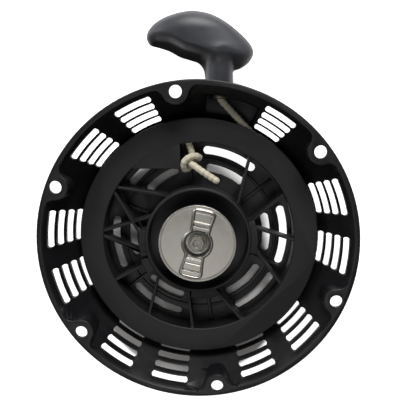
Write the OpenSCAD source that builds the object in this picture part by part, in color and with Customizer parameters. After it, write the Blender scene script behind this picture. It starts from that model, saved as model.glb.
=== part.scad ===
// Recoil starter for a small engine: a bowl-shaped housing with a bolt flange, a rope reel
// on a centre post, a rewind spring, two drive pawls under a friction plate, and a pull handle.
// Origin: centre of the bolt circle, on the flange face that meets the engine. +Z points to the
// engine, so the assembly lies on its back. +Y points to the handle. Sizes are in millimetres.

/* [Reel] */
// Diameter of the drum floor that the rope winds on
drum_d = 141; // [117:1:170]
// Depth of the reel's front face below the mounting face
reel_depth = 21.9; // [18:0.1:27]
// Thickness of the reel's front cheek
cheek_t = 2.5; // [2:0.1:3.5]
// Thickness of the reel's back cheek
back_cheek_t = 2; // [1.6:0.1:3]
// Thickness of the wall under the rope
drum_wall = 2.4; // [2:0.1:3]
// Height of the front cheek above the outermost rope
cheek_proud = 4.9; // [3:0.1:6]
// Thickness of the thin ribs that join the hub to the drum
rib_t = 1.9; // [1.4:0.1:2.6]

/* [Hub] */
// Outside diameter of the hub cup
hub_d = 75; // [70:1:90]
// Wall thickness of the hub cup
hub_wall = 2.5; // [2:0.1:3.2]
// Depth of the hub rim below the mounting face
hub_rim_depth = 13; // [11:0.1:15]
// Diameter of the raised deck that carries the pawls
deck_d = 50; // [48:0.5:54]

/* [Rope] */
// Diameter of the starter rope
rope_d = 5; // [4:0.1:6]
// Turns side by side in the groove
rope_turns_wide = 2; // [2:1:3]
// Distance of the rope outlet to the right of the centre line
outlet_x = 15; // [12:0.5:20]

/* [Housing] */
// Wall thickness of the bowl, measured level
wall_t = 2.5; // [2:0.1:3]
// Thickness of the mounting flange
flange_t = 3; // [2.5:0.1:4]
// Thickness of the back plate
back_t = 2.6; // [2:0.1:3.2]
// Slope of the bowl's side: level growth for each millimetre of height
wall_slope = 0.547; // [0.5:0.001:0.6]
// Flange width outside the bolt circle
bolt_edge = 7; // [6:0.1:9]
// Diameter of the six bolt holes
bolt_hole_d = 8.5; // [6.5:0.1:9.5]
// Radius of the bowl wall's bow around each bolt hole
lobe_r = 8.7; // [8:0.1:10]
// Width of the cooling slots in the bowl's side
slot_w = 3.3; // [2.5:0.1:3.4]

/* [Post and bolt] */
// Diameter of the post that the reel turns on
post_d = 14; // [12:0.5:16]
// Diameter of the centre bolt's thread
bolt_d = 6; // [5:0.5:7]
// Diameter of the friction plate
plate_d = 53.6; // [50:0.2:58]
// Thickness of the friction plate's sheet
plate_t = 1.2; // [1:0.1:1.5]

/* [Handle] */
// Diameter of the handle's stem
stem_d = 19; // [17:0.5:22]
// Distance from the stem's foot to the crown of the grip
grip_height = 50; // [46:0.5:58]
// Reach of the long lobe from the stem's axis
long_reach = 50; // [44:0.5:56]
// Reach of the short lobe from the stem's axis
short_reach = 23.5; // [21:0.5:28]

/* [Clearances] */
// Radial clearance of a turning fit
run_gap = 0.06; // [0.03:0.01:0.1]
// Gap between plain moving faces
face_gap = 0.3; // [0.2:0.05:0.5]
// Room between the reel and the back plate
back_gap = 1.2; // [0.8:0.1:2]
// Room between the front cheek's edge and the bowl
cheek_gap = 7.7; // [6:0.1:9]

/* [Hidden] */
$fn = 72;
EPS = 0.02;

// Rope winding: two layers, the second resting on the first
rope_r = rope_d / 2;
drum_r = drum_d / 2;
layer_pitch = 0.96 * rope_d;
turn_pitch = 1.04 * rope_d;
wind_r1 = drum_r + rope_r + 0.05;
wind_r2 = wind_r1 + layer_pitch;
groove_w = (rope_turns_wide - 1) * turn_pitch + rope_d + 0.8;

// Heights of the reel
reel_z = -reel_depth;
groove_top_z = reel_z - cheek_t;
groove_low_z = groove_top_z - groove_w;
reel_low_z = groove_low_z - back_cheek_t;
turn_z1 = groove_top_z - 0.4 - rope_r;
back_in_z = reel_low_z - back_gap;
back_out_z = back_in_z - back_t;
ring_in_r = drum_r - drum_wall;
cheek_r = wind_r2 + rope_r + cheek_proud;

// Bowl: a cone from the mouth down to a rounded corner at the back plate
mouth_r = cheek_r + cheek_gap - wall_slope * groove_top_z;
function bowl_r(z) = mouth_r + wall_slope * z;
corner_r = 4;
corner_z = back_in_z + corner_r;
back_cheek_r = bowl_r(reel_low_z) - 2;

// Flange and bolt circle
bolt_count = 6;
first_bolt_a = 37.6;
bolt_r = mouth_r - 3.3;
flange_r = bolt_r + bolt_edge;
lobe_corner_r = 8;
lobe_blend = 0.25;
function bolt_a(i) = first_bolt_a + i * 360 / bolt_count;

// Cooling slots in the side: four rows in two groups for each bolt sector
slot_rows = 4;
slot_first_r = mouth_r - 3.9;
slot_pitch = 4.45;
group_first = 17.3;
group_second = 40.6;
group_width = 14.7;
outlet_group = 19.3;
outlet_group_width = 13;

// Cooling slots in the back plate: two rings, each slot from one direction to another
back_slot_w = 5.6;
back_ring_r1 = ring_in_r - 6;
back_ring_r2 = hub_d / 2 + 12;
outer_windows = [[50, 87], [106, 144], [168, 205], [219, 257], [296, 331], [339, 379.5]];
inner_windows = [[50, 84], [108, 140], [168, 200], [222, 256], [294, 331], [345, 378]];

// Rope outlet: where the straight rope from the reel meets the outlet's axis
outlet_z = turn_z1;
outlet_wall_r = mouth_r - 5.3;
outlet_corner_y = outlet_wall_r - 2.7;
outlet_seat_y = outlet_corner_y + 2;
outlet_end_y = outlet_seat_y + 6.5;
outlet_boss_r = 9;
outlet_from = 65;
outlet_to = 87;
corner_dist = norm([outlet_x, outlet_corner_y]);
corner_angle = atan2(outlet_corner_y, outlet_x);
leave_a = corner_angle - acos(wind_r2 / corner_dist);
leave_point = [wind_r2 * cos(leave_a), wind_r2 * sin(leave_a)];

// Hub: a cup with a well around the pawl deck
hub_r = hub_d / 2;
hub_in_r = hub_r - hub_wall;
hub_rim_z = -hub_rim_depth;
case_h = 9;
floor_t = 2.4;
floor_low_z = reel_low_z + case_h;
deck_r = deck_d / 2;
deck_z = -11;
deck_t = 2.5;
boss_r = post_d / 2 + 6.5;
boss_top_z = -9.5;

// Thin ribs of the reel, each from a direction on the drum to one on the hub, in degrees, and
// the thick parts of the hub's wall where ribs meet it: from, to, and how far they stand out
rib_pairs = [[27.5, 16.2], [58, 41], [148, 125], [151, 192], [176, 155], [179, 203], [207.5, 207],
             [237.5, 220], [266, 257], [297, 284], [330, 354], [358.5, 13.8]];
hub_lugs = [[-14, 20, 4.5], [170, 197, 4.5], [200, 215, 6]];

// Rope's knot: the direction in which the rope passes through the drum wall, and the radius
anchor_a = 96;
knot_r = ring_in_r - 12;

// Post: a wide foot for the spring's hook, a step, and a bearing length
post_r = post_d / 2;
foot_r = post_r + 4;
washer_t = 0.8;
post_step_z = floor_low_z - face_gap - washer_t;
post_top_z = -9.2;
bush_t = 2;
bush_top_z = -14.6;
insert_r = bolt_d / 2 + 1.4;
insert_low_z = -26;

// Friction plate
plate_r = plate_d / 2;
plate_top_z = -2.7;
plate_low_z = plate_top_z - plate_t;
cup_in_r = 8.8;
cup_wall = 1.2;
cup_floor_z = -7.8;
cup_low_z = cup_floor_z - cup_wall;
arm_turn = -13;
bead_w = 1.3;
bead_h = 0.9;
// raised bars in the arms: from, to, height
plate_bars = [[11.9, 12.9, 0.5], [13.6, 15.2, 0.8], [-14, -11.9, 0.5], [-18.7, -14.6, 0.35],
              [-22.6, -19.6, 0.7]];
insert_top_z = cup_floor_z + 0.05;

// Pawls
pin_r = 2.5;
pawl_pivot_r = 19;
pawl_low_z = -9.6;
pawl_top_z = -5;
pawl_root_r = 4.2;
pawl_tip_r = 2.2;
pawl_reach = 15;
pawl_rest_a = 100;
pawl_first_a = 20;
pawl_angles = [pawl_first_a, pawl_first_a + 180];
pin_top_z = -4.4;
pin_low_z = -19.5;
wire_r = 0.45;

// Handle
stem_r = stem_d / 2;
stem_y = outlet_end_y + face_gap;
knot_seat_y = stem_y + 27;
cap_low_y = stem_y + 37.4;
recess_r = 8;
bore_r = rope_r + 0.4;

// ---------- shared shapes ----------

// Point at radius r and angle a
function polar(r, a) = [r * cos(a), r * sin(a)];

// Points of an arc about c in n steps; skip leaves out that many points at each end
function arc(c, r, a0, a1, n = 8, skip = 0) =
  [for (i = [skip:n - skip]) c + polar(r, a0 + (a1 - a0) * i / n)];

// A ring between two radii and two heights
module ring(r_in, r_out, z0, z1) {
  translate([0, 0, z0])
    difference() {
      cylinder(r = r_out, h = z1 - z0);
      translate([0, 0, -1]) cylinder(r = r_in, h = z1 - z0 + 2);
    }
}

// A curved slot of width w about radius r, from angle a0 to a1, with round ends.
// The ends are a little wider than the slot, so that each is a clean corner relief.
module curved_slot(r, w, a0, a1, z0, z1) {
  end = w / 2 / r * 180 / PI;
  rotate([0, 0, a0 + end])
    rotate_extrude(angle = a1 - a0 - 2 * end)
      translate([r - w / 2, z0]) square([w, z1 - z0]);
  for (a = [a0 + end, a1 - end])
    rotate([0, 0, a]) translate([r, 0, z0]) cylinder(d = w + 0.2, h = z1 - z0, $fn = 24);
}

// Outline around one bolt hole: a bow of the wall joined to the mouth by round corners.
// grow moves the whole line outwards, so the same rule draws the wall's other face.
module lobe_outline(grow) {
  mouth = mouth_r + grow + lobe_blend;
  bow = lobe_r - grow;
  corner = lobe_corner_r + grow;
  d1 = mouth - corner;
  d2 = bow + corner;
  a = acos((bolt_r * bolt_r + d1 * d1 - d2 * d2) / (2 * bolt_r * d1));
  c1 = polar(d1, a);
  c2 = polar(d1, -a);
  hole = [bolt_r, 0];
  back = atan2(c1[1] - hole[1], c1[0] - hole[0]);
  far = flange_r + 3;
  polygon(concat([polar(far, -a)],
                 arc(c2, corner, -a, 180 - back, 6),
                 arc(hole, bow, 360 - back, back, 14, 1),
                 arc(c1, corner, back - 180, a, 6),
                 [polar(far, a)]));
}

// Tube of radius r swept along points, with its end faces square to the path. r_first is its
// radius at the first point.
module swept_tube(path, r, sides = 10, r_first = 0) {
  n = len(path);
  function tangent(i) = let (d = path[min(i + 1, n - 1)] - path[max(i - 1, 0)]) d / norm(d);
  function side(t) = let (s = cross(t, [0, 0, 1])) s / norm(s);
  rings = [for (i = [0:n - 1], k = [0:sides - 1])
    let (t = tangent(i), u = side(t), v = cross(t, u), a = 360 * k / sides,
         ring_r = i == 0 && r_first > 0 ? r_first : r)
      path[i] + ring_r * cos(a) * u + ring_r * sin(a) * v];
  walls = [for (i = [0:n - 2], k = [0:sides - 1])
    let (m = (k + 1) % sides)
      [i * sides + k, (i + 1) * sides + k, (i + 1) * sides + m, i * sides + m]];
  first = [for (k = [0:sides - 1]) k];
  last = [for (k = [sides - 1:-1:0]) (n - 1) * sides + k];
  polyhedron(rings, concat(walls, [first, last]), convexity = 4);
}

// ---------- housing ----------

// Section of the bowl's outer skin, closed to the axis
module bowl_outer_section() {
  r_low = bowl_r(corner_z) + wall_t;
  corner = corner_r + back_t;
  polygon(concat([[0, 0], [mouth_r + wall_t, 0]],
                 arc([r_low - corner, corner_z], corner, 0, -90),
                 [[0, back_out_z]]));
}

// Section of the space inside the bowl
module bowl_inner_section() {
  r_low = bowl_r(corner_z);
  polygon(concat([[0, 1], [mouth_r + wall_slope, 1]],
                 arc([r_low - corner_r, corner_z], corner_r, 0, -90),
                 [[0, back_in_z]]));
}

// Bulge of the wall where the rope leaves, between two angles
module outlet_bulge(r, a0, a1, z0, z1) {
  rotate([0, 0, a0])
    rotate_extrude(angle = a1 - a0)
      translate([drum_r, z0]) square([r - drum_r, z1 - z0]);
}

module outlet_boss(r, y0, y1) {
  translate([outlet_x, y1, outlet_z]) rotate([90, 0, 0]) cylinder(r = r, h = y1 - y0);
}

module side_slots() {
  for (i = [0:bolt_count - 1], second = [0, 1]) {
    outlet = i == 0;
    mid = bolt_a(i) + (second ? group_second : outlet ? outlet_group : group_first);
    half = (outlet ? outlet_group_width : group_width) / 2;
    if (!(outlet && second))
      for (row = [0:slot_rows - 1])
        curved_slot(slot_first_r - row * slot_pitch, slot_w, mid - half, mid + half,
                    back_out_z - 1, 1);
  }
}

module back_slots() {
  for (w = outer_windows)
    curved_slot(back_ring_r1, back_slot_w, w[0], w[1], back_out_z - 1, back_in_z + 1);
  for (w = inner_windows)
    curved_slot(back_ring_r2, back_slot_w, w[0], w[1], back_out_z - 1, back_in_z + 1);
}

module housing() {
  color([0.13, 0.13, 0.15]) {
    difference() {
      union() {
        // outer skin with a pocket behind each bolt hole
        difference() {
          rotate_extrude() bowl_outer_section();
          for (i = [0:bolt_count - 1])
            rotate([0, 0, bolt_a(i)])
              translate([0, 0, back_out_z - 1]) linear_extrude(2 - back_out_z) lobe_outline(wall_t);
        }
        translate([0, 0, -flange_t]) cylinder(r = flange_r, h = flange_t, $fn = 120);
        outlet_bulge(outlet_wall_r + wall_t, outlet_from - 1.4, outlet_to + 1.4,
                     back_out_z + 1.2, -flange_t / 2);
        outlet_boss(outlet_boss_r, outlet_wall_r - 10, outlet_end_y);
      }
      // space inside, left solid at each bow of the wall
      difference() {
        union() {
          rotate_extrude() bowl_inner_section();
          outlet_bulge(outlet_wall_r, outlet_from, outlet_to, back_in_z + 0.6, 1);
        }
        for (i = [0:bolt_count - 1])
          rotate([0, 0, bolt_a(i)])
            translate([0, 0, back_in_z / 2]) linear_extrude(-back_in_z) lobe_outline(0);
        outlet_boss(outlet_boss_r, outlet_seat_y, outlet_end_y);
      }
      for (i = [0:bolt_count - 1])
        rotate([0, 0, bolt_a(i)])
          translate([bolt_r, 0, -flange_t - 1]) cylinder(d = bolt_hole_d, h = flange_t + 3);
      side_slots();
      back_slots();
      outlet_boss(insert_bore(), outlet_seat_y - 1, outlet_end_y + 1);
    }
    post();
    back_ribs();
  }
}

// Bore in the outlet boss that holds the rope guide
function insert_bore() = rope_r + 2.2;

// Centre post with a slot for the spring's hook and a bore for the threaded insert
module post() {
  difference() {
    union() {
      translate([0, 0, back_in_z - EPS]) cylinder(r = foot_r, h = post_step_z - back_in_z + EPS);
      translate([0, 0, post_step_z - EPS]) cylinder(r = post_r, h = post_top_z - post_step_z + EPS);
    }
    translate([0, 0, insert_low_z]) cylinder(r = insert_r, h = 40);
    translate([foot_r - 3.2, -0.8, back_in_z + 0.4])
      cube([4, 1.6, post_step_z - back_in_z]);
  }
}

// Low ribs inside the back plate, one towards each bolt, and a ring between the slot rings
module back_ribs() {
  for (i = [0:bolt_count - 1])
    rotate([0, 0, bolt_a(i)])
      translate([hub_r + 3, -1, back_in_z - EPS]) cube([ring_in_r - hub_r - 5, 2, 2.4]);
  mid = (back_ring_r1 + back_ring_r2) / 2;
  ring(mid - 0.9, mid + 0.9, back_in_z - EPS, back_in_z + 0.9);
}

module post_insert() {
  color("silver")
    ring(bolt_d / 2, insert_r, insert_low_z, insert_top_z);
}

// Flared eyelet that the rope bends over
module rope_guide() {
  bore = rope_r + 0.7;
  flare = 2.8;
  lip = bore + flare;
  y0 = outlet_seat_y + 0.4 - flare;
  outer = insert_bore();
  color([0.55, 0.54, 0.5])
    translate([outlet_x, 0, outlet_z])
      rotate([-90, 0, 0])
        rotate_extrude()
          polygon(concat([[bore, outlet_end_y - 0.6]],
                         arc([lip, y0 + flare], flare, 180, 270, 6),
                         arc([lip, y0 + 1.2], 1.2, -90, 0, 5),
                         [[lip + 1.2, outlet_seat_y], [outer, outlet_seat_y],
                          [outer, outlet_end_y - 0.6]]));
}

// ---------- reel ----------

module drum_section() {
  edge = 0.7;
  translate([ring_in_r, groove_low_z - EPS]) square([drum_wall, groove_w + 2 * EPS]);
  polygon([[ring_in_r, groove_top_z], [cheek_r, groove_top_z], [cheek_r, reel_z - edge],
           [cheek_r - edge, reel_z], [ring_in_r + edge, reel_z], [ring_in_r, reel_z - edge]]);
  polygon([[ring_in_r, groove_low_z], [back_cheek_r, groove_low_z],
           [back_cheek_r, reel_low_z + edge], [back_cheek_r - edge, reel_low_z],
           [ring_in_r, reel_low_z]]);
}

module hub_section() {
  edge = 0.6;
  // cup wall
  polygon([[hub_in_r, reel_low_z], [hub_r, reel_low_z], [hub_r, hub_rim_z - edge],
           [hub_r - edge, hub_rim_z], [hub_in_r + edge, hub_rim_z], [hub_in_r, hub_rim_z - edge]]);
  // floor, deck wall, deck and centre boss
  translate([deck_r - 2.4, floor_low_z]) square([hub_r - deck_r + 1.4, floor_t]);
  translate([deck_r - 2.4, floor_low_z]) square([2.4, deck_z - floor_low_z]);
  translate([boss_r - 1, deck_z - deck_t]) square([deck_r - boss_r + 1, deck_t]);
  translate([post_r + bush_t, floor_low_z])
    square([boss_r - post_r - bush_t, boss_top_z - floor_low_z]);
}

module hub_ribs() {
  for (p = rib_pairs) {
    a = polar(ring_in_r + 0.6, p[0]);
    b = polar(hub_r - 0.6, p[1]);
    d = b - a;
    translate([a[0], a[1], groove_low_z + 1])
      rotate([0, 0, atan2(d[1], d[0])])
        translate([0, -rib_t / 2, 0]) cube([norm(d), rib_t, groove_w + 0.2]);
  }
}

module hub_lug_rings() {
  for (g = hub_lugs)
    rotate([0, 0, g[0]])
      rotate_extrude(angle = g[1] - g[0])
        translate([hub_r - 0.5, groove_low_z + 0.5])
          square([g[2] + 0.5, hub_rim_z - 1.8 - groove_low_z]);
}

// Flat web beside the rope's knot, flush with the front cheek
module knot_web() {
  x0 = -0.69 * ring_in_r;
  x1 = -0.187 * ring_in_r;
  y0 = 0.73 * ring_in_r;
  translate([0, 0, groove_top_z])
    linear_extrude(cheek_t)
      intersection() {
        circle(r = ring_in_r + 0.5);
        translate([x0 - 3, y0]) square([x1 - x0 + 3, ring_in_r]);
      }
  // upright edge that the knot bears on
  translate([x1 - 2, y0, groove_low_z + 1])
    cube([2, sqrt(ring_in_r * ring_in_r - x1 * x1) - y0 + 0.6, groove_w]);
}

// Shelf around the lower part of the hub
module hub_shelf() {
  rotate([0, 0, 262])
    rotate_extrude(angle = 28)
      translate([hub_r - 0.5, groove_top_z - 4]) square([9.5, 2.2]);
  rotate([0, 0, 196])
    rotate_extrude(angle = 26)
      translate([hub_r - 0.5, groove_top_z - 4]) square([6.5, 2.2]);
}

module reel() {
  color([0.32, 0.32, 0.35])
    difference() {
      union() {
        rotate_extrude($fn = 144) drum_section();
        rotate_extrude() hub_section();
        hub_ribs();
        hub_lug_rings();
        knot_web();
        hub_shelf();
        for (a = pawl_angles)
          rotate([0, 0, a])
            translate([pawl_pivot_r, 0, pin_low_z - 1])
              cylinder(r = pin_r + 2, h = deck_z - pin_low_z + 1);
      }
      translate([0, 0, bush_top_z]) cylinder(r = boss_r - 2.2, h = 10);
      for (a = pawl_angles)
        rotate([0, 0, a]) translate([pawl_pivot_r, 0, pin_low_z]) cylinder(r = pin_r, h = 20);
      // hole for the rope's end
      rotate([0, 0, anchor_a])
        translate([ring_in_r - 3, 0, turn_z1]) rotate([0, 90, 0]) cylinder(r = rope_r + 0.4, h = 6);
      // small notch in the cheek's edge
      rotate([0, 0, -7]) translate([cheek_r - 1.4, -0.8, groove_top_z - 1]) cube([3, 1.6, 5]);
    }
}

module reel_bush() {
  color([0.62, 0.5, 0.3])
    ring(post_r + run_gap, post_r + bush_t, floor_low_z, bush_top_z);
}

module thrust_washer() {
  color("silver")
    ring(post_r + 0.1, foot_r, post_step_z, post_step_z + washer_t);
}

module spring_case() {
  t = 0.8;
  gap = 0.3;
  color("silver") {
    ring(foot_r + 1, hub_in_r - gap, floor_low_z - t, floor_low_z);
    ring(hub_in_r - gap - t, hub_in_r - gap, reel_low_z + 0.2, floor_low_z);
  }
}

// Flat spring coiled about the post's foot, its inner end hooked in the post
module main_spring() {
  t = 0.6;
  turns = 7;
  steps = 24;
  r0 = foot_r + 0.6;
  r1 = hub_in_r - 2.2;
  n = turns * steps;
  function spiral_r(i) = r0 + (r1 - r0) * i / n;
  low = reel_low_z + 0.4;
  high = floor_low_z - 1.2;
  color([0.36, 0.4, 0.47])
    translate([0, 0, low]) {
      linear_extrude(high - low)
        polygon(concat([for (i = [0:n]) polar(spiral_r(i) + t, i * 360 / steps)],
                       [for (i = [n:-1:0]) polar(spiral_r(i), i * 360 / steps)]));
      translate([foot_r - 2.6, -t / 2, 0]) cube([3.5, t, high - low]);
    }
}

// ---------- pawls and friction plate ----------

module pawl_pin(a) {
  color("silver")
    rotate([0, 0, a])
      translate([pawl_pivot_r, 0, pin_low_z]) cylinder(r = pin_r, h = pin_top_z - pin_low_z);
}

module pawl_pin_a() { pawl_pin(pawl_angles[0]); }
module pawl_pin_b() { pawl_pin(pawl_angles[1]); }

// A drive pawl: a round root on its pin and a squared tip
module pawl(a) {
  h = pawl_top_z - pawl_low_z;
  tip = polar(pawl_reach, pawl_rest_a);
  out = polar(1, pawl_rest_a - 90);
  along = polar(1, pawl_rest_a);
  color([0.5, 0.52, 0.55])
    rotate([0, 0, a])
      translate([pawl_pivot_r, 0, pawl_low_z])
        difference() {
          union() {
            cylinder(r = pawl_root_r, h = h);
            linear_extrude(h)
              polygon([out * pawl_root_r, tip + out * pawl_tip_r, tip + along * 1.6 + out * 0.6,
                       tip + along * 1.2 - out * pawl_tip_r, -out * pawl_root_r]);
          }
          translate([0, 0, -1]) cylinder(r = pin_r + run_gap, h = h + 2);
        }
}

module pawl_a() { pawl(pawl_angles[0]); }
module pawl_b() { pawl(pawl_angles[1]); }

// Wire loop around the pin with a leg that holds the pawl in
module pawl_spring(a) {
  loop_r = pin_r + 0.35 + wire_r;
  color([0.75, 0.75, 0.78])
    rotate([0, 0, a])
      translate([pawl_pivot_r, 0, (deck_z + pawl_low_z) / 2]) {
        rotate_extrude() translate([loop_r, 0]) circle(r = wire_r, $fn = 16);
        rotate([0, 0, 20])
          translate([loop_r, 0, 0]) rotate([-90, 0, 0]) cylinder(r = wire_r, h = 6, $fn = 16);
      }
}

module pawl_spring_a() { pawl_spring(pawl_angles[0]); }
module pawl_spring_b() { pawl_spring(pawl_angles[1]); }

// Coil spring that presses the reel back and the plate forwards
module brake_spring() {
  wire = 0.6;
  turns = 2.25;
  steps = 16;
  r = boss_r - 2.2 - 0.4 - wire;
  low = bush_top_z + wire + 0.1;
  high = cup_low_z - wire - 0.15;
  n = turns * steps;
  color([0.7, 0.7, 0.73])
    swept_tube([for (i = [0:n])
                 [r * cos(i * 360 / steps), r * sin(i * 360 / steps), low + (high - low) * i / n]],
               wire, 8);
}

// Outline of the plate's two pressed arms and the ring that joins them
module arms_outline(grow) {
  r0 = cup_in_r + 1.8 + grow;
  w0 = 6.7 + grow;
  w1 = 7.7 + grow;
  tip = plate_r - 2.4 + grow;
  circle(r = r0);
  for (k = [0, 180])
    rotate([0, 0, k]) polygon([[-w0, 0], [w0, 0], [w0, 13], [w1, 21], [w1 - 1, tip - 0.6],
                               [0, tip + 0.4], [1 - w1, tip - 0.6], [-w1, 21], [-w0, 13]]);
}

// Pressed steel plate: a dished centre for the bolt, raised arms, and two lugs for the pawls
module friction_plate() {
  color([0.8, 0.79, 0.76])
    difference() {
      union() {
        translate([0, 0, plate_low_z]) cylinder(r = plate_r, h = plate_t, $fn = 96);
        translate([0, 0, cup_low_z]) cylinder(r = cup_in_r + cup_wall, h = plate_top_z - cup_low_z);
        rotate([0, 0, arm_turn])
          translate([0, 0, plate_top_z - EPS])
            linear_extrude(bead_h)
              difference() {
                arms_outline(0);
                arms_outline(-bead_w);
              }
        rotate([0, 0, arm_turn])
          for (b = plate_bars)
            translate([-5.4, b[0], plate_top_z - EPS]) cube([10.8, b[1] - b[0], b[2]]);
        for (a = pawl_angles)
          rotate([0, 0, a + 30])
            translate([13.2, 0, pawl_low_z + 1])
              cylinder(r = 1.2, h = plate_low_z - pawl_low_z, $fn = 24);
      }
      translate([0, 0, cup_floor_z]) cylinder(r = cup_in_r, h = 12);
      translate([0, 0, cup_low_z - 1]) cylinder(r = insert_r + run_gap, h = 6);
    }
}

module bolt_washer() {
  color("silver")
    ring(bolt_d / 2 + 0.2, 8, insert_top_z, insert_top_z + 1.2);
}

module centre_bolt() {
  head_z = insert_top_z + 1.2;
  color([0.72, 0.72, 0.7]) {
    difference() {
      union() {
        translate([0, 0, head_z]) cylinder(r = bolt_d + 0.6, h = 0.9);
        translate([0, 0, head_z + 0.8]) cylinder(r = bolt_d * 0.94, h = 3.1, $fn = 6);
      }
      translate([0, 0, head_z + 3.3]) cylinder(r = bolt_d * 0.47, h = 2);
    }
    translate([0, 0, insert_low_z + 1]) cylinder(r = bolt_d / 2, h = head_z - insert_low_z - 0.9);
  }
}

// ---------- rope ----------

// Rope on the drum: full turns, and the last turn up to the point where it leaves
module rope_wound() {
  rows = [for (i = [0:rope_turns_wide - 1]) turn_z1 - i * turn_pitch];
  color([0.88, 0.86, 0.76]) {
    rotate_extrude($fn = 96) {
      for (z = rows) translate([wind_r1, z]) circle(r = rope_r, $fn = 24);
      for (i = [1:rope_turns_wide - 1]) translate([wind_r2, rows[i]]) circle(r = rope_r, $fn = 24);
      translate([wind_r1 - 1, rows[rope_turns_wide - 1]])
        square([2, (rope_turns_wide - 1) * turn_pitch]);
    }
    rotate([0, 0, leave_a - 320])
      rotate_extrude(angle = 320, $fn = 96)
        translate([wind_r2, turn_z1]) circle(r = rope_r, $fn = 24);
  }
}

// Knot on the inside of the drum wall
module rope_knot() {
  loop = 0.8 * rope_d;
  color([0.88, 0.86, 0.76])
    rotate([0, 0, anchor_a]) {
      translate([knot_r, 0, turn_z1 + 2]) rotate([25, 40, 0])
        rotate_extrude() translate([loop, 0]) circle(r = rope_r, $fn = 20);
      translate([knot_r, 0, turn_z1 + 2]) sphere(r = 0.8 * rope_d, $fn = 32);
      translate([knot_r, 0, turn_z1])
        rotate([0, 90, 0]) cylinder(r = rope_r, h = ring_in_r - knot_r + 2);
    }
}

// Free end beyond the knot
module rope_tail() {
  c = polar(knot_r, anchor_a);
  color([0.88, 0.86, 0.76])
    swept_tube([[c[0] + 4, c[1] - 3.5, turn_z1 + 5], [c[0] + 9, c[1] - 7.6, turn_z1 + 7.4],
                [c[0] + 14.5, c[1] - 11.6, turn_z1 + 8.2], [c[0] + 20.4, c[1] - 15.4, turn_z1 + 7.5]],
               rope_r - 0.1);
}

// Rope from the reel, over the guide, to its knot in the handle
module rope_lead() {
  bend_r = 6;
  corner = [outlet_x, outlet_corner_y];
  d = (corner - leave_point) / norm(corner - leave_point);
  from = leave_point;
  turn_back = bend_r * tan((90 - atan2(d[1], -d[0])) / 2);
  start = corner - d * turn_back;
  c = [outlet_x + bend_r, outlet_corner_y + turn_back];
  bend = arc(c, bend_r, 180 + 90 - atan2(d[1], -d[0]), 180, 6);
  straight = [for (i = [0:5]) from + (start - from) * i / 6];
  up = [for (y = [outlet_corner_y + turn_back + 6:12:knot_seat_y - 4]) [outlet_x, y]];
  path = concat(straight, bend, up, [[outlet_x, knot_seat_y + 1.5]]);
  color([0.88, 0.86, 0.76])
    swept_tube([for (p = path) [p[0], p[1], outlet_z]], rope_r - 0.05, r_first = rope_r - 0.3);
}

// ---------- handle ----------

// A ball of the grip at a place measured from the stem's foot
module grip_ball(x, y, r, flat = 1) {
  translate([outlet_x + x, stem_y + y, outlet_z]) scale([1, 1, flat]) sphere(r = r, $fn = 32);
}

// Long lobe, crown and short lobe
module grip_head() {
  hull() {
    grip_ball(9.5 - long_reach, 32, 9.5, 1.15);
    grip_ball(-17, grip_height - 14.5, 14, 0.95);
    grip_ball(short_reach - 10, 24, 10, 1.15);
  }
}

module handle_grip() {
  color([0.38, 0.38, 0.41])
    difference() {
      union() {
        grip_head();
        // stem flowing into the crown
        hull() {
          grip_ball(-9, 22, 9);
          grip_ball(2, 18, 9.5);
          grip_ball(0, 30, 11);
        }
        grip_stem();
      }
      translate([outlet_x, stem_y - 1, outlet_z]) rotate([-90, 0, 0]) cylinder(r = bore_r, h = 60);
      translate([outlet_x, knot_seat_y, outlet_z]) rotate([-90, 0, 0]) cylinder(r = recess_r, h = 40);
    }
}

// Plug that closes the knot's recess, level with the crown
module handle_cap() {
  color([0.38, 0.38, 0.41])
    intersection() {
      grip_head();
      translate([outlet_x, cap_low_y, outlet_z])
        rotate([-90, 0, 0]) cylinder(r = recess_r - 0.05, h = 40);
    }
}

module grip_stem() {
  translate([outlet_x, stem_y, outlet_z]) rotate([-90, 0, 0]) {
    cylinder(r1 = stem_r - 0.8, r2 = stem_r, h = 0.8 + EPS);
    translate([0, 0, 0.8]) cylinder(r = stem_r, h = 24);
  }
}

module handle_washer() {
  color("silver")
    translate([outlet_x, knot_seat_y, outlet_z])
      rotate([-90, 0, 0]) ring(bore_r, recess_r - 0.4, 0, 1.5);
}

// Knot that holds the handle on the rope
module handle_knot() {
  loop = 0.72 * rope_d;
  color([0.88, 0.86, 0.76])
    translate([outlet_x, knot_seat_y + 1.5, outlet_z]) rotate([-90, 0, 0]) {
      translate([0, 0, rope_r + 1]) rotate([0, 12, 0])
        rotate_extrude() translate([loop, 0]) circle(r = rope_r - 0.2, $fn = 20);
      translate([0, 0, rope_r + 2]) sphere(r = 0.72 * rope_d, $fn = 32);
      translate([0, 0, 0.02]) cylinder(r = rope_r - 0.2, h = 4);
    }
}

housing();
post_insert();
rope_guide();
thrust_washer();
main_spring();
spring_case();
reel();
reel_bush();
pawl_pin_a();
pawl_pin_b();
pawl_spring_a();
pawl_spring_b();
pawl_a();
pawl_b();
brake_spring();
friction_plate();
bolt_washer();
centre_bolt();
rope_wound();
rope_knot();
rope_tail();
rope_lead();
handle_grip();
handle_cap();
handle_washer();
handle_knot();
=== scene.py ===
"""Looks for the recoil starter: smooth surfaces, finishes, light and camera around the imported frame."""

import math

import bmesh
import bpy
import numpy as np
from mathutils import Matrix, Vector


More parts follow.
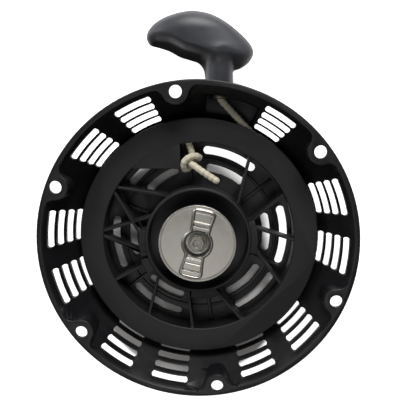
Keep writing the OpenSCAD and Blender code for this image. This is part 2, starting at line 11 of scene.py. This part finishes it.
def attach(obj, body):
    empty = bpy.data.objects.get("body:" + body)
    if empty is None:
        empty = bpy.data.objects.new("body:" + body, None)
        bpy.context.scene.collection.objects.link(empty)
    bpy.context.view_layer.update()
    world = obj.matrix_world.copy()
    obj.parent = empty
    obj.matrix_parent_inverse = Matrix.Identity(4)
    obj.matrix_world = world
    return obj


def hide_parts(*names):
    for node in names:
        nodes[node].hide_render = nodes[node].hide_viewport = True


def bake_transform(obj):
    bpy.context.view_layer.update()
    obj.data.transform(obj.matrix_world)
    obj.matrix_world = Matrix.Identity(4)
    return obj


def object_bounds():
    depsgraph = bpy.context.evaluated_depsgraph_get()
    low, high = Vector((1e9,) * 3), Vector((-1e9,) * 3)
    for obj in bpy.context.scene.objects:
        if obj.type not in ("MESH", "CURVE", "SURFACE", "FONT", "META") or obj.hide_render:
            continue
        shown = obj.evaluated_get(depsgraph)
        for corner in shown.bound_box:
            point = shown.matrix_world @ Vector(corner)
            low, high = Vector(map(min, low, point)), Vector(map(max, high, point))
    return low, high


MM = 0.001
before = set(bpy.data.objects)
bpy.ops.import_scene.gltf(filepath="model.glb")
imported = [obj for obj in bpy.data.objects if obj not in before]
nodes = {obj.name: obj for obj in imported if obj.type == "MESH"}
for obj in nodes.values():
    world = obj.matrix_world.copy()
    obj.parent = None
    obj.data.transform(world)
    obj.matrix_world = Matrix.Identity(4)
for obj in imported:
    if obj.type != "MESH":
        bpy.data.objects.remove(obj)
size_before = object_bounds()


# ---------- materials ----------

def linear(code):
    """Linear RGBA of an sRGB hex code."""
    channels = [int(code[i:i + 2], 16) / 255 for i in (1, 3, 5)]
    return [c / 12.92 if c <= 0.04045 else ((c + 0.055) / 1.055) ** 2.4 for c in channels] + [1.0]


def add(tree, kind, settings=None, links=None):
    """A new shader node. settings are its inputs or properties by name, links its inputs' sources."""
    made = tree.nodes.new(kind)
    for name, value in (settings or {}).items():
        if name in made.inputs:
            made.inputs[name].default_value = value
        else:
            setattr(made, name, value)
    for name, source in (links or {}).items():
        tree.links.new(source, made.inputs[name])
    return made


def ramp(tree, source, stops):
    """Colours along a 0 to 1 value; stops are (place, hex code)."""
    made = add(tree, "ShaderNodeValToRGB", links={"Fac": source})
    band = made.color_ramp
    while len(band.elements) < len(stops):
        band.elements.new(0.5)
    for element, (place, code) in zip(band.elements, stops):
        element.position = place
        element.color = linear(code)
    return made.outputs["Color"]


ROUGH_SPREAD = 0.06


def finish(name, dark, light, rough, metallic=0.0, grain=0.8, relief=0.02, patch=30.0,
           sheen=0.0, shade=None):
    """A worn solid: two tones mixed by broad patches of patch mm, and a fine grain of grain mm that
    stands relief mm high. shade names an attribute of painted shade, which blackens and dulls the surface."""
    made = bpy.data.materials.new(name)
    made.use_nodes = True
    tree = made.node_tree
    tree.nodes.clear()
    at = add(tree, "ShaderNodeTexCoord").outputs["Object"]
    broad = add(tree, "ShaderNodeTexNoise", {"Scale": 1000 / patch, "Detail": 4.0, "Roughness": 0.55},
                {"Vector": at}).outputs["Fac"]
    fine = add(tree, "ShaderNodeTexNoise", {"Scale": 1000 / grain, "Detail": 3.0, "Roughness": 0.6},
               {"Vector": at}).outputs["Fac"]
    colour = ramp(tree, broad, [(0.3, dark), (0.7, light)])
    # Painted shade: where the shade attribute is high, the colour is blended toward near black and the
    # surface made rough.
    if shade:
        amount = add(tree, "ShaderNodeAttribute", {"attribute_name": shade}).outputs["Fac"]
        colour = add(tree, "ShaderNodeMixRGB", {"Color2": linear("#060607")},
                     {"Fac": amount, "Color1": colour}).outputs["Color"]
    roughness = add(tree, "ShaderNodeMapRange",
                    {"From Min": 0.3, "From Max": 0.7, "To Min": rough - ROUGH_SPREAD,
                     "To Max": rough + ROUGH_SPREAD}, {"Value": broad}).outputs["Result"]
    if shade:
        roughness = add(tree, "ShaderNodeMath", {"operation": "MAXIMUM"},
                        {0: roughness, 1: amount}).outputs["Value"]
    normal = add(tree, "ShaderNodeBump", {"Strength": 1.0, "Distance": relief * MM},
                 {"Height": fine}).outputs["Normal"]
    shader = add(tree, "ShaderNodeBsdfPrincipled",
                 {"Metallic": metallic, "Sheen Weight": sheen},
                 {"Base Color": colour, "Roughness": roughness, "Normal": normal})
    out = add(tree, "ShaderNodeOutputMaterial")
    tree.links.new(shader.outputs["BSDF"], out.inputs["Surface"])
    return made


# Glass-filled nylon, injection moulded: near black, satin, with a fine moulded grain.
housing_plastic = finish("glass_filled_nylon_black", "#0f0e11", "#161518", 0.45, grain=0.7, relief=0.03)
# Plain nylon, moulded: a shade lighter and more matt than the housing, so its wide ring stays even.
reel_nylon = finish("moulded_nylon_charcoal", "#151417", "#1c1b1e", 0.56, grain=0.9, relief=0.02, patch=45)
# Sheet steel, zinc plated and pressed: bright satin with faint cloudy patches.
plate_steel = finish("zinc_plated_steel_satin", "#a8a39b", "#c4c2bb", 0.4, 1.0, grain=0.5, relief=0.006,
                     patch=12)
# Bolt steel, zinc plated: duller and warmer than the plate.
bolt_steel = finish("zinc_plated_steel_dull", "#8d8a80", "#a5a297", 0.42, 1.0, grain=0.4, relief=0.01,
                    patch=6)
# Turned and pressed steel, zinc plated: plain grey with a soft gloss.
zinc_steel = finish("zinc_plated_steel", "#a9aaa8", "#c0c0bc", 0.35, 1.0, grain=0.4, relief=0.005, patch=8)
# Spring steel, blued in the hardening oven: dark with a blue cast.
spring_steel = finish("blued_spring_steel", "#3d4450", "#545c68", 0.35, 1.0, grain=0.5, relief=0.004)
# Sintered and hardened steel: even mid grey.
pawl_steel = finish("hardened_steel_grey", "#6c6e70", "#85878a", 0.4, 1.0, grain=0.5, relief=0.01, patch=7)
# Oil-filled sintered bronze: brown and dull.
bush_bronze = finish("sintered_bronze", "#8a6a3c", "#a07c48", 0.45, 1.0, grain=0.3, relief=0.01, patch=6)
# Nickel-plated brass, handled: a dull warm grey.
guide_metal = finish("nickel_plated_brass_dull", "#77746b", "#8e8b80", 0.42, 1.0, grain=0.4, relief=0.01,
                     patch=8)
# Moulded rubber: mid grey with a broad soft gloss. The finger groove is painted darker and more matt,
# as it lies in deeper shade than these lights alone give it.
grip_rubber = finish("moulded_rubber_grey", "#343539", "#424348", 0.42, grain=0.6, relief=0.03, patch=22,
                     shade="groove")
# Braided nylon cord: ivory, dry and a little fuzzy.
rope_cord = finish("braided_nylon_ivory", "#cfc7ae", "#e6dfca", 0.78, grain=0.35, relief=0.05, patch=9,
                   sheen=0.3)


# ---------- shared shapes ----------

def solid(name, points, faces, body, material, replaces=(), slot=None, sharp=40):
    """A mesh piece from points in millimetres, faces turned outwards, riding on a body."""
    mesh = bpy.data.meshes.new(name)
    mesh.from_pydata((np.asarray(points, float) * MM).tolist(), [], [list(map(int, f)) for f in faces])
    mesh.validate()
    bm = bmesh.new()
    bm.from_mesh(mesh)
    bmesh.ops.remove_doubles(bm, verts=bm.verts, dist=1e-7)
    if bm.calc_volume(signed=True) < 0:
        bmesh.ops.reverse_faces(bm, faces=bm.faces)
    bm.to_mesh(mesh)
    bm.free()
    mesh.shade_smooth()
    mesh.set_sharp_from_angle(angle=math.radians(sharp))
    mesh.materials.append(material)
    made = bpy.data.objects.new(name, mesh)
    bpy.context.scene.collection.objects.link(made)
    if body:
        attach(made, body)
    if replaces:
        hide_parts(*replaces)
    return made


def sheet_faces(rows, columns, wrap_rows, wrap_columns):
    """The four-sided faces of a grid of points, one row after another."""
    i = np.arange(rows if wrap_rows else rows - 1)[:, None]
    j = np.arange(columns if wrap_columns else columns - 1)[None, :]
    i2, j2 = (i + 1) % rows, (j + 1) % columns
    corners = [i * columns + j, i * columns + j2, i2 * columns + j2, i2 * columns + j]
    return np.stack(np.broadcast_arrays(*corners), -1).reshape(-1, 4).tolist()


def loft(name, grid, body, material, **more):
    """A closed surface through rings of points; its two ends are flat faces."""
    rows, columns = grid.shape[:2]
    faces = sheet_faces(rows, columns, False, True)
    faces += [list(range(columns))[::-1], list(range((rows - 1) * columns, rows * columns))]
    return solid(name, grid.reshape(-1, 3), faces, body, material, **more)


def smooth_path(points, step):
    """Points every step mm along a Catmull-Rom curve through the given ones."""
    p = np.asarray(points, float)
    p = np.vstack([2 * p[0] - p[1], p, 2 * p[-1] - p[-2]])
    out = []
    for a, b, c, d in zip(p, p[1:], p[2:], p[3:]):
        t = np.linspace(0, 1, 24, endpoint=False)[:, None]
        out.append(0.5 * (2 * b + (c - a) * t + (2 * a - 5 * b + 4 * c - d) * t ** 2
                          + (3 * b - 3 * c + d - a) * t ** 3))
    return evenly(np.vstack(out + [p[-2:-1]]), step)


def evenly(path, step):
    """The same path with its points step mm apart."""
    length = np.concatenate([[0], np.cumsum(np.linalg.norm(np.diff(path, axis=0), axis=1))])
    at = np.linspace(0, length[-1], max(int(round(length[-1] / step)), 3) + 1)
    return np.stack([np.interp(at, length, path[:, k]) for k in range(3)], 1)


def frames_along(path):
    """Two directions square to the path at each point, carried along without twist."""
    along = np.gradient(path, axis=0)
    along /= np.linalg.norm(along, axis=1)[:, None]
    first = np.cross(along[0], [0.0, 0.0, 1.0])
    if np.linalg.norm(first) < 1e-3:
        first = np.cross(along[0], [1.0, 0.0, 0.0])
    sides = [first / np.linalg.norm(first)]
    for t in along[1:]:
        s = sides[-1] - t * np.dot(sides[-1], t)
        sides.append(s / np.linalg.norm(s))
    sides = np.array(sides)
    return sides, np.cross(along, sides)


def tube(path, radius, around, relief=None):
    """Rings around a path. radius is a number or one for each point; relief(length, turn) adds to it."""
    side, up = frames_along(path)
    length = np.concatenate([[0], np.cumsum(np.linalg.norm(np.diff(path, axis=0), axis=1))])
    turn = np.arange(around) * 2 * math.pi / around
    r = np.broadcast_to(np.asarray(radius, float).reshape(-1, 1), (len(path), around)).copy()
    if relief is not None:
        r += relief(length[:, None], turn[None, :])
    return (path[:, None] + (r * np.cos(turn))[..., None] * side[:, None]
            + (r * np.sin(turn))[..., None] * up[:, None])


def braid(length, turn):
    """Height of a round braid: strands of two opposite hands cross over and under each other."""
    a = 8 * turn / (2 * math.pi) + length / 3.6
    b = 8 * turn / (2 * math.pi) - length / 3.6
    return 0.26 * np.cos(2 * math.pi * a / 2) * np.cos(2 * math.pi * b / 2) - 0.16


def rope(name, path, body, radius=2.5, blunt=(False, False), **more):
    """A length of braided rope. A blunt end is melted round."""
    path = evenly(path, 0.45)
    length = np.concatenate([[0], np.cumsum(np.linalg.norm(np.diff(path, axis=0), axis=1))])
    r = np.full(len(path), radius)
    for end, away in zip(blunt, (length, length[-1] - length)):
        if end:
            near = np.clip(away / (0.8 * radius), 0, 1)
            r = r * np.sqrt(np.clip(1 - (1 - near) ** 2.4, 0.12, 1))
    return loft(name, tube(path, r, 32, braid), body, rope_cord, slot="rope_cord", sharp=80, **more)


def lathe(name, profile, centre, axis, around, body, material, **more):
    """A profile of (radius, distance along the axis) turned about an axis through centre."""
    turn = np.arange(around) * 2 * math.pi / around
    axis = np.asarray(axis, float)
    u = np.cross(axis, [0.3, 0.5, 0.8])
    u /= np.linalg.norm(u)
    v = np.cross(axis, u)
    p = np.asarray(profile, float)
    rim = np.cos(turn)[None, :, None] * u + np.sin(turn)[None, :, None] * v
    grid = np.asarray(centre, float) + p[:, 1, None, None] * axis + p[:, 0, None, None] * rim
    return loft(name, grid, body, material, **more)


def smoothstep(x):
    """0 below 0, 1 above 1, and between them three times the square of x less twice its cube."""
    x = np.clip(x, 0, 1)
    return x * x * (3 - 2 * x)


def rounded(node, name, body, material, width, angle=32, segments=2):
    """A copy of a CAD node with its corners rounded. width(a, b) is the rounding in mm of the edge a-b."""
    mesh = nodes[node].data.copy()
    mesh.name = name
    bm = bmesh.new()
    bm.from_mesh(mesh)
    bmesh.ops.remove_doubles(bm, verts=bm.verts, dist=2e-6)
    bmesh.ops.dissolve_limit(bm, angle_limit=math.radians(0.3), verts=bm.verts, edges=bm.edges)
    weight = bm.edges.layers.float.new("bevel_weight_edge")
    widest = 0
    for e in bm.edges:
        if len(e.link_faces) == 2 and e.calc_face_angle() > math.radians(angle):
            e[weight] = width(e.verts[0].co / MM, e.verts[1].co / MM)
            widest = max(widest, e[weight])
    for e in bm.edges:
        e[weight] /= widest
    bm.to_mesh(mesh)
    bm.free()
    mesh.shade_smooth()
    mesh.materials.clear()
    mesh.materials.append(material)
    made = bpy.data.objects.new(name, mesh)
    bpy.context.scene.collection.objects.link(made)
    bevel = made.modifiers.new("rounding", "BEVEL")
    bevel.limit_method = "WEIGHT"
    bevel.width = widest * MM
    bevel.segments = segments
    bevel.use_clamp_overlap = False
    bevel.harden_normals = True
    bevel.miter_outer = "MITER_SHARP"
    keep_inside(made, nodes[node])
    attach(made, body)
    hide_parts(node)
    return made


def keep_inside(made, node):
    """Applies the rounding, then holds every point within the box of the CAD node it stands for."""
    bpy.context.view_layer.update()
    done = bpy.data.meshes.new_from_object(made.evaluated_get(bpy.context.evaluated_depsgraph_get()))
    made.modifiers.clear()
    made.data = done
    corners = np.array(node.bound_box)
    at = np.empty(3 * len(done.vertices))
    done.vertices.foreach_get("co", at)
    at = np.clip(at.reshape(-1, 3), corners.min(0), corners.max(0))
    done.vertices.foreach_set("co", at.ravel())
    done.update()


# ---------- housing and reel ----------

NARROW, WIDE = 0.35, 0.8
BOLT_R, FIRST_BOLT = 103, 37.6


def housing_width(a, b):
    """Rounding of the housing: wide on the flange face, narrow at its bolt holes and elsewhere."""
    if min(a.z, b.z) < -0.2:
        return NARROW
    turns = np.radians(FIRST_BOLT + 60 * np.arange(6))
    holes = BOLT_R * np.stack([np.cos(turns), np.sin(turns)], -1)
    at_hole = np.linalg.norm(holes - np.array(a.xy), axis=-1).min() < 5
    return NARROW if at_hole or max(a.xy.length, b.xy.length) < 90 else WIDE


rounded("housing", "housing_shell", "frame", housing_plastic, housing_width, segments=3)
rounded("reel", "reel_moulding", "reel", reel_nylon, lambda a, b: NARROW)
for n, m, s in (("centre_bolt", bolt_steel, "bolt_steel"), ("bolt_washer", zinc_steel, "zinc_steel")):
    rounded(n, n + "_finished", "frame", m, lambda a, b: 0.2)
for n in ("pawl_a", "pawl_b"):
    rounded(n, n + "_finished", n, pawl_steel, lambda a, b: 0.3)


# ---------- friction plate ----------

PLATE_R = 26.8
PLATE_Z = -2.7


def arms_distance(x, y):
    """Signed distance to the outline of the two arms and the ring between them, negative inside."""
    ring = np.hypot(x, y) - 10.5
    y = np.abs(y)
    half = 6.7 + 1.0 * smoothstep((y - 10) / 12)
    q = np.stack([np.abs(x) - half, y - 24.2 + 0.012 * x ** 2], -1)
    arm = np.linalg.norm(np.maximum(q + 2.4, 0), axis=-1) + np.minimum(q.max(-1) + 2.4, 0) - 2.4
    return np.minimum(ring, arm)


def plate_height(x, y):
    """Top of the pressed plate: a rounded bead round the arms, stepped bars in them and a dished centre."""
    c, s = math.cos(math.radians(13)), math.sin(math.radians(13))
    u, v = c * x - s * y, s * x + c * y
    d = arms_distance(u, v)
    bead = 0.85 * np.cos(np.clip((d + 0.7) / 1.25, -1, 1) * math.pi / 2) ** 2
    inside = smoothstep((-d - 1.2) / 0.6)
    edge = 0.3

    def step(at):
        return smoothstep((v - at + edge) / (2 * edge))

    upper = (0.5 * (step(9.4) - step(11.8)) - 0.55 * (step(11.8) - step(13.1))
             + 0.85 * (step(13.1) - step(15.1)) - 0.15 * step(15.1) - 0.2 * (step(21.0) - step(23)))
    lower = (-0.5 * (step(-10.9) - step(-9.6)) + 0.65 * (step(-13.8) - step(-10.9))
             + 0.4 * (step(-18.8) - step(-14.5)) - 0.4 * (step(-19.7) - step(-18.8))
             + 0.8 * (step(-22.9) - step(-19.7)))
    r = np.hypot(x, y)
    cup = smoothstep((9.5 - r) / 1.2)
    lip = 0.22 * np.exp(-((r - 25.5) / 0.55) ** 2) - 0.3 * (r / 26) ** 2
    sheet = PLATE_Z + (bead + inside * (upper + lower) + lip) * (1 - cup)
    return sheet - cup * 5.1


def plate_surface():
    """Rings of the plate's top from its bore to its rounded edge, then of its underside back again."""
    around = 288
    r_top = np.concatenate([np.linspace(4.6, 8.0, 6), np.linspace(8.2, 25.9, 114)])
    turn = np.arange(around) * 2 * math.pi / around
    cs, sn = np.cos(turn)[None], np.sin(turn)[None]
    top = np.stack([r_top[:, None] * cs, r_top[:, None] * sn,
                    plate_height(r_top[:, None] * cs, r_top[:, None] * sn)], -1)
    bend = np.radians(np.linspace(0, 180, 10))[1:-1]
    r_edge = 25.9 + 0.9 * np.sin(bend) ** 0.8
    z_edge = PLATE_Z - 0.6 + 0.6 * np.cos(bend)
    rim = np.stack([r_edge[:, None] * cs, r_edge[:, None] * sn, z_edge[:, None] + 0 * cs], -1)
    r_low = np.array([25.9, 20, 14, 12, 11, 10.2, 9.95, 9.8, 9, 6, 4.6])
    z_low = np.where(r_low > 10.1, PLATE_Z - 1.2, PLATE_Z - 6.3)
    z_low[5] = PLATE_Z - 1.5
    low = np.stack([r_low[:, None] * cs, r_low[:, None] * sn, z_low[:, None] + 0 * cs], -1)
    grid = np.vstack([top, rim, low])
    rows = grid.shape[0]
    solid("friction_plate_pressed", grid.reshape(-1, 3), sheet_faces(rows, around, True, True), "plate",
          plate_steel, replaces=["friction_plate"], slot="plate_steel", sharp=60)


plate_surface()
for k, turn in enumerate((50, 230)):
    a = math.radians(turn)
    lathe("plate_lug_" + "ab"[k], [(0.3, -8.6), (1.2, -8.3), (1.2, -3.8)],
          (13.2 * math.cos(a), 13.2 * math.sin(a), 0), (0, 0, 1), 24, "plate", plate_steel,
          slot="plate_steel")


# ---------- handle ----------

AROUND = 96
AXIS = np.array([15.0, 0.0, -27.3])
# Outlines of the grip to the left and right of its parting line, from the stem's foot to the crown
LEFT = [(5.5, 107.9), (5.2, 110), (4.8, 113.2), (3.9, 117.6), (0.6, 121.9), (-5.8, 124.2), (-12.2, 126.2),
        (-19.4, 130.0), (-26.6, 132.4), (-32.6, 134.2), (-35.0, 138.2), (-34.4, 142.6), (-30.8, 147.4),
        (-24.6, 151.6), (-16.2, 154.8), (-8.6, 156.25), (-4.2, 156.45)]
RIGHT = [(24.5, 107.9), (24.4, 110), (24.2, 113), (24.6, 116.6), (29.2, 118.4), (34.2, 121.6), (37.2, 125.6),
         (38.1, 129.4), (36.8, 133.2), (34.0, 137.0), (30.6, 140.4), (26.6, 143.9), (21.8, 147.7),
         (15.6, 151.6), (8.6, 154.7), (1.8, 156.15), (-2.6, 156.45)]


def cap_line(x):
    """Height of the cap's lower edge along the grip, and how wide the step below it is."""
    line_x = [-40, -35, -32, -29, -19, -8.7, 5, 12, 18, 26, 34, 40]
    line_y = [128, 132, 135.4, 137.6, 136.2, 131.0, 127.2, 125.0, 126, 124.0, 122.0, 121]
    line_w = [8, 6.5, 5.6, 5.0, 5.6, 5.6, 6.0, 6.5, 8, 6, 5, 5]
    return np.interp(x, line_x, line_y), np.interp(x, line_x, line_w)


def grip_rings():
    """Rings from the left outline to the right one. Half the thickness is the fourth-power sum of a
    lens, which is thin below the cap's edge and thick above it, and of the round stem."""
    steps = 96
    at = np.linspace(0, len(LEFT) - 1, steps)
    left, right = spline(LEFT, at), spline(RIGHT, at)
    turn = np.arange(AROUND) * 2 * math.pi / AROUND
    middle, reach = (left + right) / 2, (right - left) / 2
    across = np.cos(turn)
    x = middle[:, :1] + reach[:, :1] * across
    y = middle[:, 1:] + reach[:, 1:] * across
    level, width = cap_line(x)
    cap = smoothstep((y - level + width) / (2 * width))
    foot = smoothstep((y - 113) / 10)
    web = 3.4 + 9.6 * cap * foot
    crown = np.sqrt(np.clip(1 - (np.clip(middle[:, 1:] - 143.5, 0, None) / 13.7) ** 2, 0.0009, 1))
    lens = np.abs(np.sin(turn)) ** 0.86
    body = web * lens * crown
    stem = np.sqrt(np.clip(9.5 ** 2 - (x - AXIS[0]) ** 2, 0, None)) * (1 - smoothstep((y - 128) / 14))
    half = (body ** 4 + (stem * np.where(lens > 1e-6, 1, 0)) ** 4) ** 0.25
    z = AXIS[2] + np.sign(np.sin(turn)) * half
    return np.stack([x, y, z], -1)


def spline(points, t):
    """A Catmull-Rom curve through points, at the places t counted in points."""
    p = np.asarray(points, float)
    last = len(p) - 1
    i = np.minimum(t.astype(int), last - 1)
    f = (t - i)[:, None]
    a, b, c, d = p[np.maximum(i - 1, 0)], p[i], p[i + 1], p[np.minimum(i + 2, last)]
    return 0.5 * (2 * b + (c - a) * f + (2 * a - 5 * b + 4 * c - d) * f ** 2
                  + (3 * b - 3 * c + d - a) * f ** 3)


def grip_surface():
    """The cavity and bore first, then the outside from the stem's foot to the crown. The painted shade in
    the finger groove fades in below the cap's edge, left of the stem and above its foot."""
    turn = np.arange(AROUND) * 2 * math.pi / AROUND
    inner = [(0.4, 144.0), (7.4, 144.0), (8.0, 143.4), (8.0, 134.1), (2.9, 134.1), (2.9, 107.6),
             (3.4, 107.1), (8.8, 107.1)]
    rings = [np.stack([AXIS[0] + r * np.cos(turn), np.full(AROUND, y), AXIS[2] + r * np.sin(turn)], -1)
             for r, y in inner]
    grid = np.concatenate([np.array(rings), grip_rings()])
    made = loft("handle_moulding", grid, "grip", grip_rubber, replaces=["handle_grip", "handle_cap"],
                slot="grip_rubber", sharp=50)
    where = np.empty(3 * len(made.data.vertices))
    made.data.vertices.foreach_get("co", where)
    x, y = where.reshape(-1, 3)[:, :2].T / MM
    # Painted shade in the finger groove, kept as the groove attribute.
    groove = (1 - smoothstep((y - cap_line(x)[0] + 1.6) / 3.2)) * smoothstep((5.5 - x) / 4)
    layer = made.data.attributes.new("groove", "FLOAT", "POINT")
    layer.data.foreach_set("value", groove * smoothstep((y - 112) / 6))


grip_surface()


# ---------- rope ----------

ROPE_Z = -27.3
WIND_1, WIND_2, WIND_PITCH = 73.05, 77.85, 5.2
LEAVE_TURN = math.radians(42.87)
LEAVE = np.array([WIND_2 * math.cos(LEAVE_TURN), WIND_2 * math.sin(LEAVE_TURN), ROPE_Z])


def winding():
    """Two turns on the drum and more than one over them: radius and height pass smoothly from one
    turn to the next, a rope's width along."""
    turn = np.radians(np.arange(-320 - 720 - 300, 1, 2.0))
    over = smoothstep((turn - math.radians(-330 - 300)) / math.radians(30))
    radius = WIND_1 + (WIND_2 - WIND_1) * over
    row = np.where(turn < math.radians(-650),
                   -smoothstep((turn - math.radians(-1010)) / math.radians(60)),
                   -1 + smoothstep((turn - math.radians(-350)) / math.radians(60)))
    turn = turn + LEAVE_TURN
    return np.stack([radius * np.cos(turn), radius * np.sin(turn), ROPE_Z + WIND_PITCH * row], -1)


coil = evenly(winding(), 2.4)
loft("rope_winding", tube(coil, 2.42, 14), "reel", rope_cord, replaces=["rope_wound"], slot="rope_cord",
     sharp=80)


def lead_path():
    """Straight from the winding to the eyelet, a bend over its lip, then along the handle's axis."""
    corner = np.array([AXIS[0], 98.3, ROPE_Z])
    d = corner - LEAVE
    d /= np.linalg.norm(d)
    turn = math.atan2(-d[0], d[1])
    bend_r = 6.0
    back = bend_r * math.tan(turn / 2)
    centre = corner + np.array([bend_r, back, 0])
    a = np.linspace(math.pi + turn, math.pi, 14)
    bend = centre + bend_r * np.stack([np.cos(a), np.sin(a), 0 * a], -1)
    return np.vstack([LEAVE[None], bend, [[AXIS[0], 136.0, ROPE_Z]]])


lead = rope("rope_pull", lead_path(), None, radius=2.45, replaces=["rope_lead"])
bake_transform(lead)


def tightened(path, width, rounds=240):
    """Pushes apart the parts of a path that lie closer than a rope's width, and keeps it smooth."""
    p = evenly(path, 1.0)
    ends = p[[0, -1]].copy()
    far = np.abs(np.arange(len(p))[:, None] - np.arange(len(p))[None]) > 1.7 * width
    for _ in range(rounds):
        d = p[:, None] - p[None]
        gap = np.linalg.norm(d, axis=-1) + 1e-9
        push = np.where(far, np.clip(width - gap, 0, None), 0)[..., None] * d / gap[..., None]
        p = p + 0.12 * push.sum(1)
        p[1:-1] = 0.82 * p[1:-1] + 0.09 * (p[:-2] + p[2:])
        p[[0, -1]] = ends
    return p


KNOT = [(-7.1, 68.4, -27.3), (-5.4, 63.6, -28.0), (-3.6, 58.0, -30.0), (-5.2, 51.0, -31.6),
        (-8.8, 46.4, -30.0), (-11.0, 46.8, -26.2), (-11.3, 52.6, -22.2), (-8.8, 58.4, -20.2),
        (-3.6, 60.6, -19.8), (1.6, 59.0, -22.6), (1.8, 56.0, -28.2), (-2.6, 55.2, -33.2),
        (-8.0, 55.0, -30.6), (-7.6, 55.6, -24.4), (-4.0, 52.8, -19.6), (1.4, 49.2, -18.6),
        (6.2, 45.9, -18.8), (10.6, 43.0, -19.4), (14.7, 40.4, -20.0)]
rope("rope_knot_and_tail", smooth_path(tightened(smooth_path(KNOT, 1.0), 4.5), 0.45), "reel", radius=2.35,
     blunt=(False, True), replaces=["rope_knot", "rope_tail"])

HANDLE_KNOT = [(15.0, 135.0, -27.3), (15.0, 138.6, -27.6), (12.2, 141.2, -30.0), (10.6, 139.4, -26.0),
               (14.2, 138.6, -23.4), (19.0, 139.4, -25.4), (17.6, 141.4, -29.4), (15.6, 142.0, -27.0)]
rope("rope_handle_knot", smooth_path(HANDLE_KNOT, 0.45), "rope_end", radius=2.1, blunt=(False, True),
     replaces=["handle_knot"])


# ---------- springs ----------

def brake_coil():
    """A helix of round wire under the friction plate."""
    t = np.linspace(0, 2.25 * 2 * math.pi, 120)
    path = np.stack([10.3 * np.cos(t), 10.3 * np.sin(t), -13.9 + 4.15 * t / t[-1]], -1)
    loft("brake_spring_wire", tube(path, 0.6, 12), "reel", zinc_steel, replaces=["brake_spring"],
         slot="zinc_steel", sharp=80)


brake_coil()

plain = {
    "post_insert": zinc_steel, "thrust_washer": zinc_steel, "spring_case": zinc_steel,
    "pawl_pin_a": zinc_steel, "pawl_pin_b": zinc_steel, "pawl_spring_a": zinc_steel,
    "pawl_spring_b": zinc_steel, "handle_washer": zinc_steel, "rope_guide": guide_metal,
    "main_spring": spring_steel, "reel_bush": bush_bronze,
}
for n, m in plain.items():
    nodes[n].data.materials.clear()
    nodes[n].data.materials.append(m)


# ---------- floor, light and camera ----------

floor_mesh = bpy.data.meshes.new("floor")
floor_mesh.from_pydata([(-4, -4, 0), (4, -4, 0), (4, 4, 0), (-4, 4, 0)], [], [(0, 1, 2, 3)])
floor = bpy.data.objects.new("floor", floor_mesh)
bpy.context.scene.collection.objects.link(floor)
floor.location.z = size_before[0][2] - 0.0002
floor_paint = bpy.data.materials.new("studio_floor")
floor_paint.use_nodes = True
tree = floor_paint.node_tree
tree.nodes.clear()
at = add(tree, "ShaderNodeTexCoord").outputs["Object"]


def outside(centre, reach, edge):
    """0 inside an oval of the floor, 1 outside it."""
    spot = add(tree, "ShaderNodeMapping", {"Location": [-c / r for c, r in zip(centre, reach)],
                                           "Scale": [1 / r for r in reach]}, {"Vector": at})
    away = add(tree, "ShaderNodeVectorMath", {"operation": "LENGTH"}, {"Vector": spot.outputs["Vector"]})
    return add(tree, "ShaderNodeMapRange",
               {"interpolation_type": "SMOOTHSTEP", "From Min": 1 - edge, "From Max": 1 + edge,
                "To Min": 0.0, "To Max": 1.0}, {"Value": away.outputs["Value"]}).outputs["Result"]


# The floor glows, so it stays pale behind the slots, apart from two ovals under the part, left unlit
# as its painted shadow.
glow = add(tree, "ShaderNodeMath", {"operation": "MULTIPLY"},
           {0: outside((-0.014, -0.008, 0), (0.065, 0.065, 1), 0.08),
            1: outside((-0.006, -0.050, 0), (0.068, 0.064, 1), 0.03)})
shader = add(tree, "ShaderNodeBsdfPrincipled",
             {"Base Color": linear("#f4f1ee"), "Roughness": 0.9, "Emission Color": linear("#ffffff")},
             {"Emission Strength": glow.outputs["Value"]})
add(tree, "ShaderNodeOutputMaterial", links={"Surface": shader.outputs["BSDF"]})
floor_mesh.materials.append(floor_paint)

world = bpy.data.worlds.new("studio")
world.use_nodes = True
world.node_tree.nodes["Background"].inputs["Color"].default_value = linear("#ffffff")
world.node_tree.nodes["Background"].inputs["Strength"].default_value = 0.06
bpy.context.scene.world = world


def softbox(name, place, aim, size, power):
    """A square area light facing a point."""
    lamp = bpy.data.lights.new(name, "AREA")
    lamp.size = size
    lamp.energy = power
    made = bpy.data.objects.new(name, lamp)
    made.location = place
    made.rotation_euler = (Vector(aim) - Vector(place)).to_track_quat("-Z", "Y").to_euler()
    bpy.context.scene.collection.objects.link(made)


# Shown with the plain transform, which leaves white as white
bpy.context.scene.view_settings.view_transform = "Standard"
softbox("key", (0.12, 0.85, 0.55), (0, 0.05, -0.02), 0.5, 9.0)
softbox("overhead", (-0.08, -0.4, 0.87), (0, 0, -0.02), 0.6, 1.4)
softbox("left", (-0.7, 0.45, 0.35), (0, 0.1, -0.02), 0.4, 2.0)

right = Vector((0.9996, -0.0023, -0.0283))
back = Vector((0.0283, 0.1623, 0.9863)).normalized()
up = back.cross(right).normalized()
right = up.cross(back)
lens = bpy.data.cameras.new("camera")
lens.sensor_width = 36
lens.lens = 48.35
lens.clip_start = 0.01
camera = bpy.data.objects.new("camera", lens)
camera.matrix_world = (Matrix.Translation((0.0181, 0.08601, 0.37005))
                       @ Matrix((right, up, back)).transposed().to_4x4())
bpy.context.scene.collection.objects.link(camera)
bpy.context.scene.camera = camera
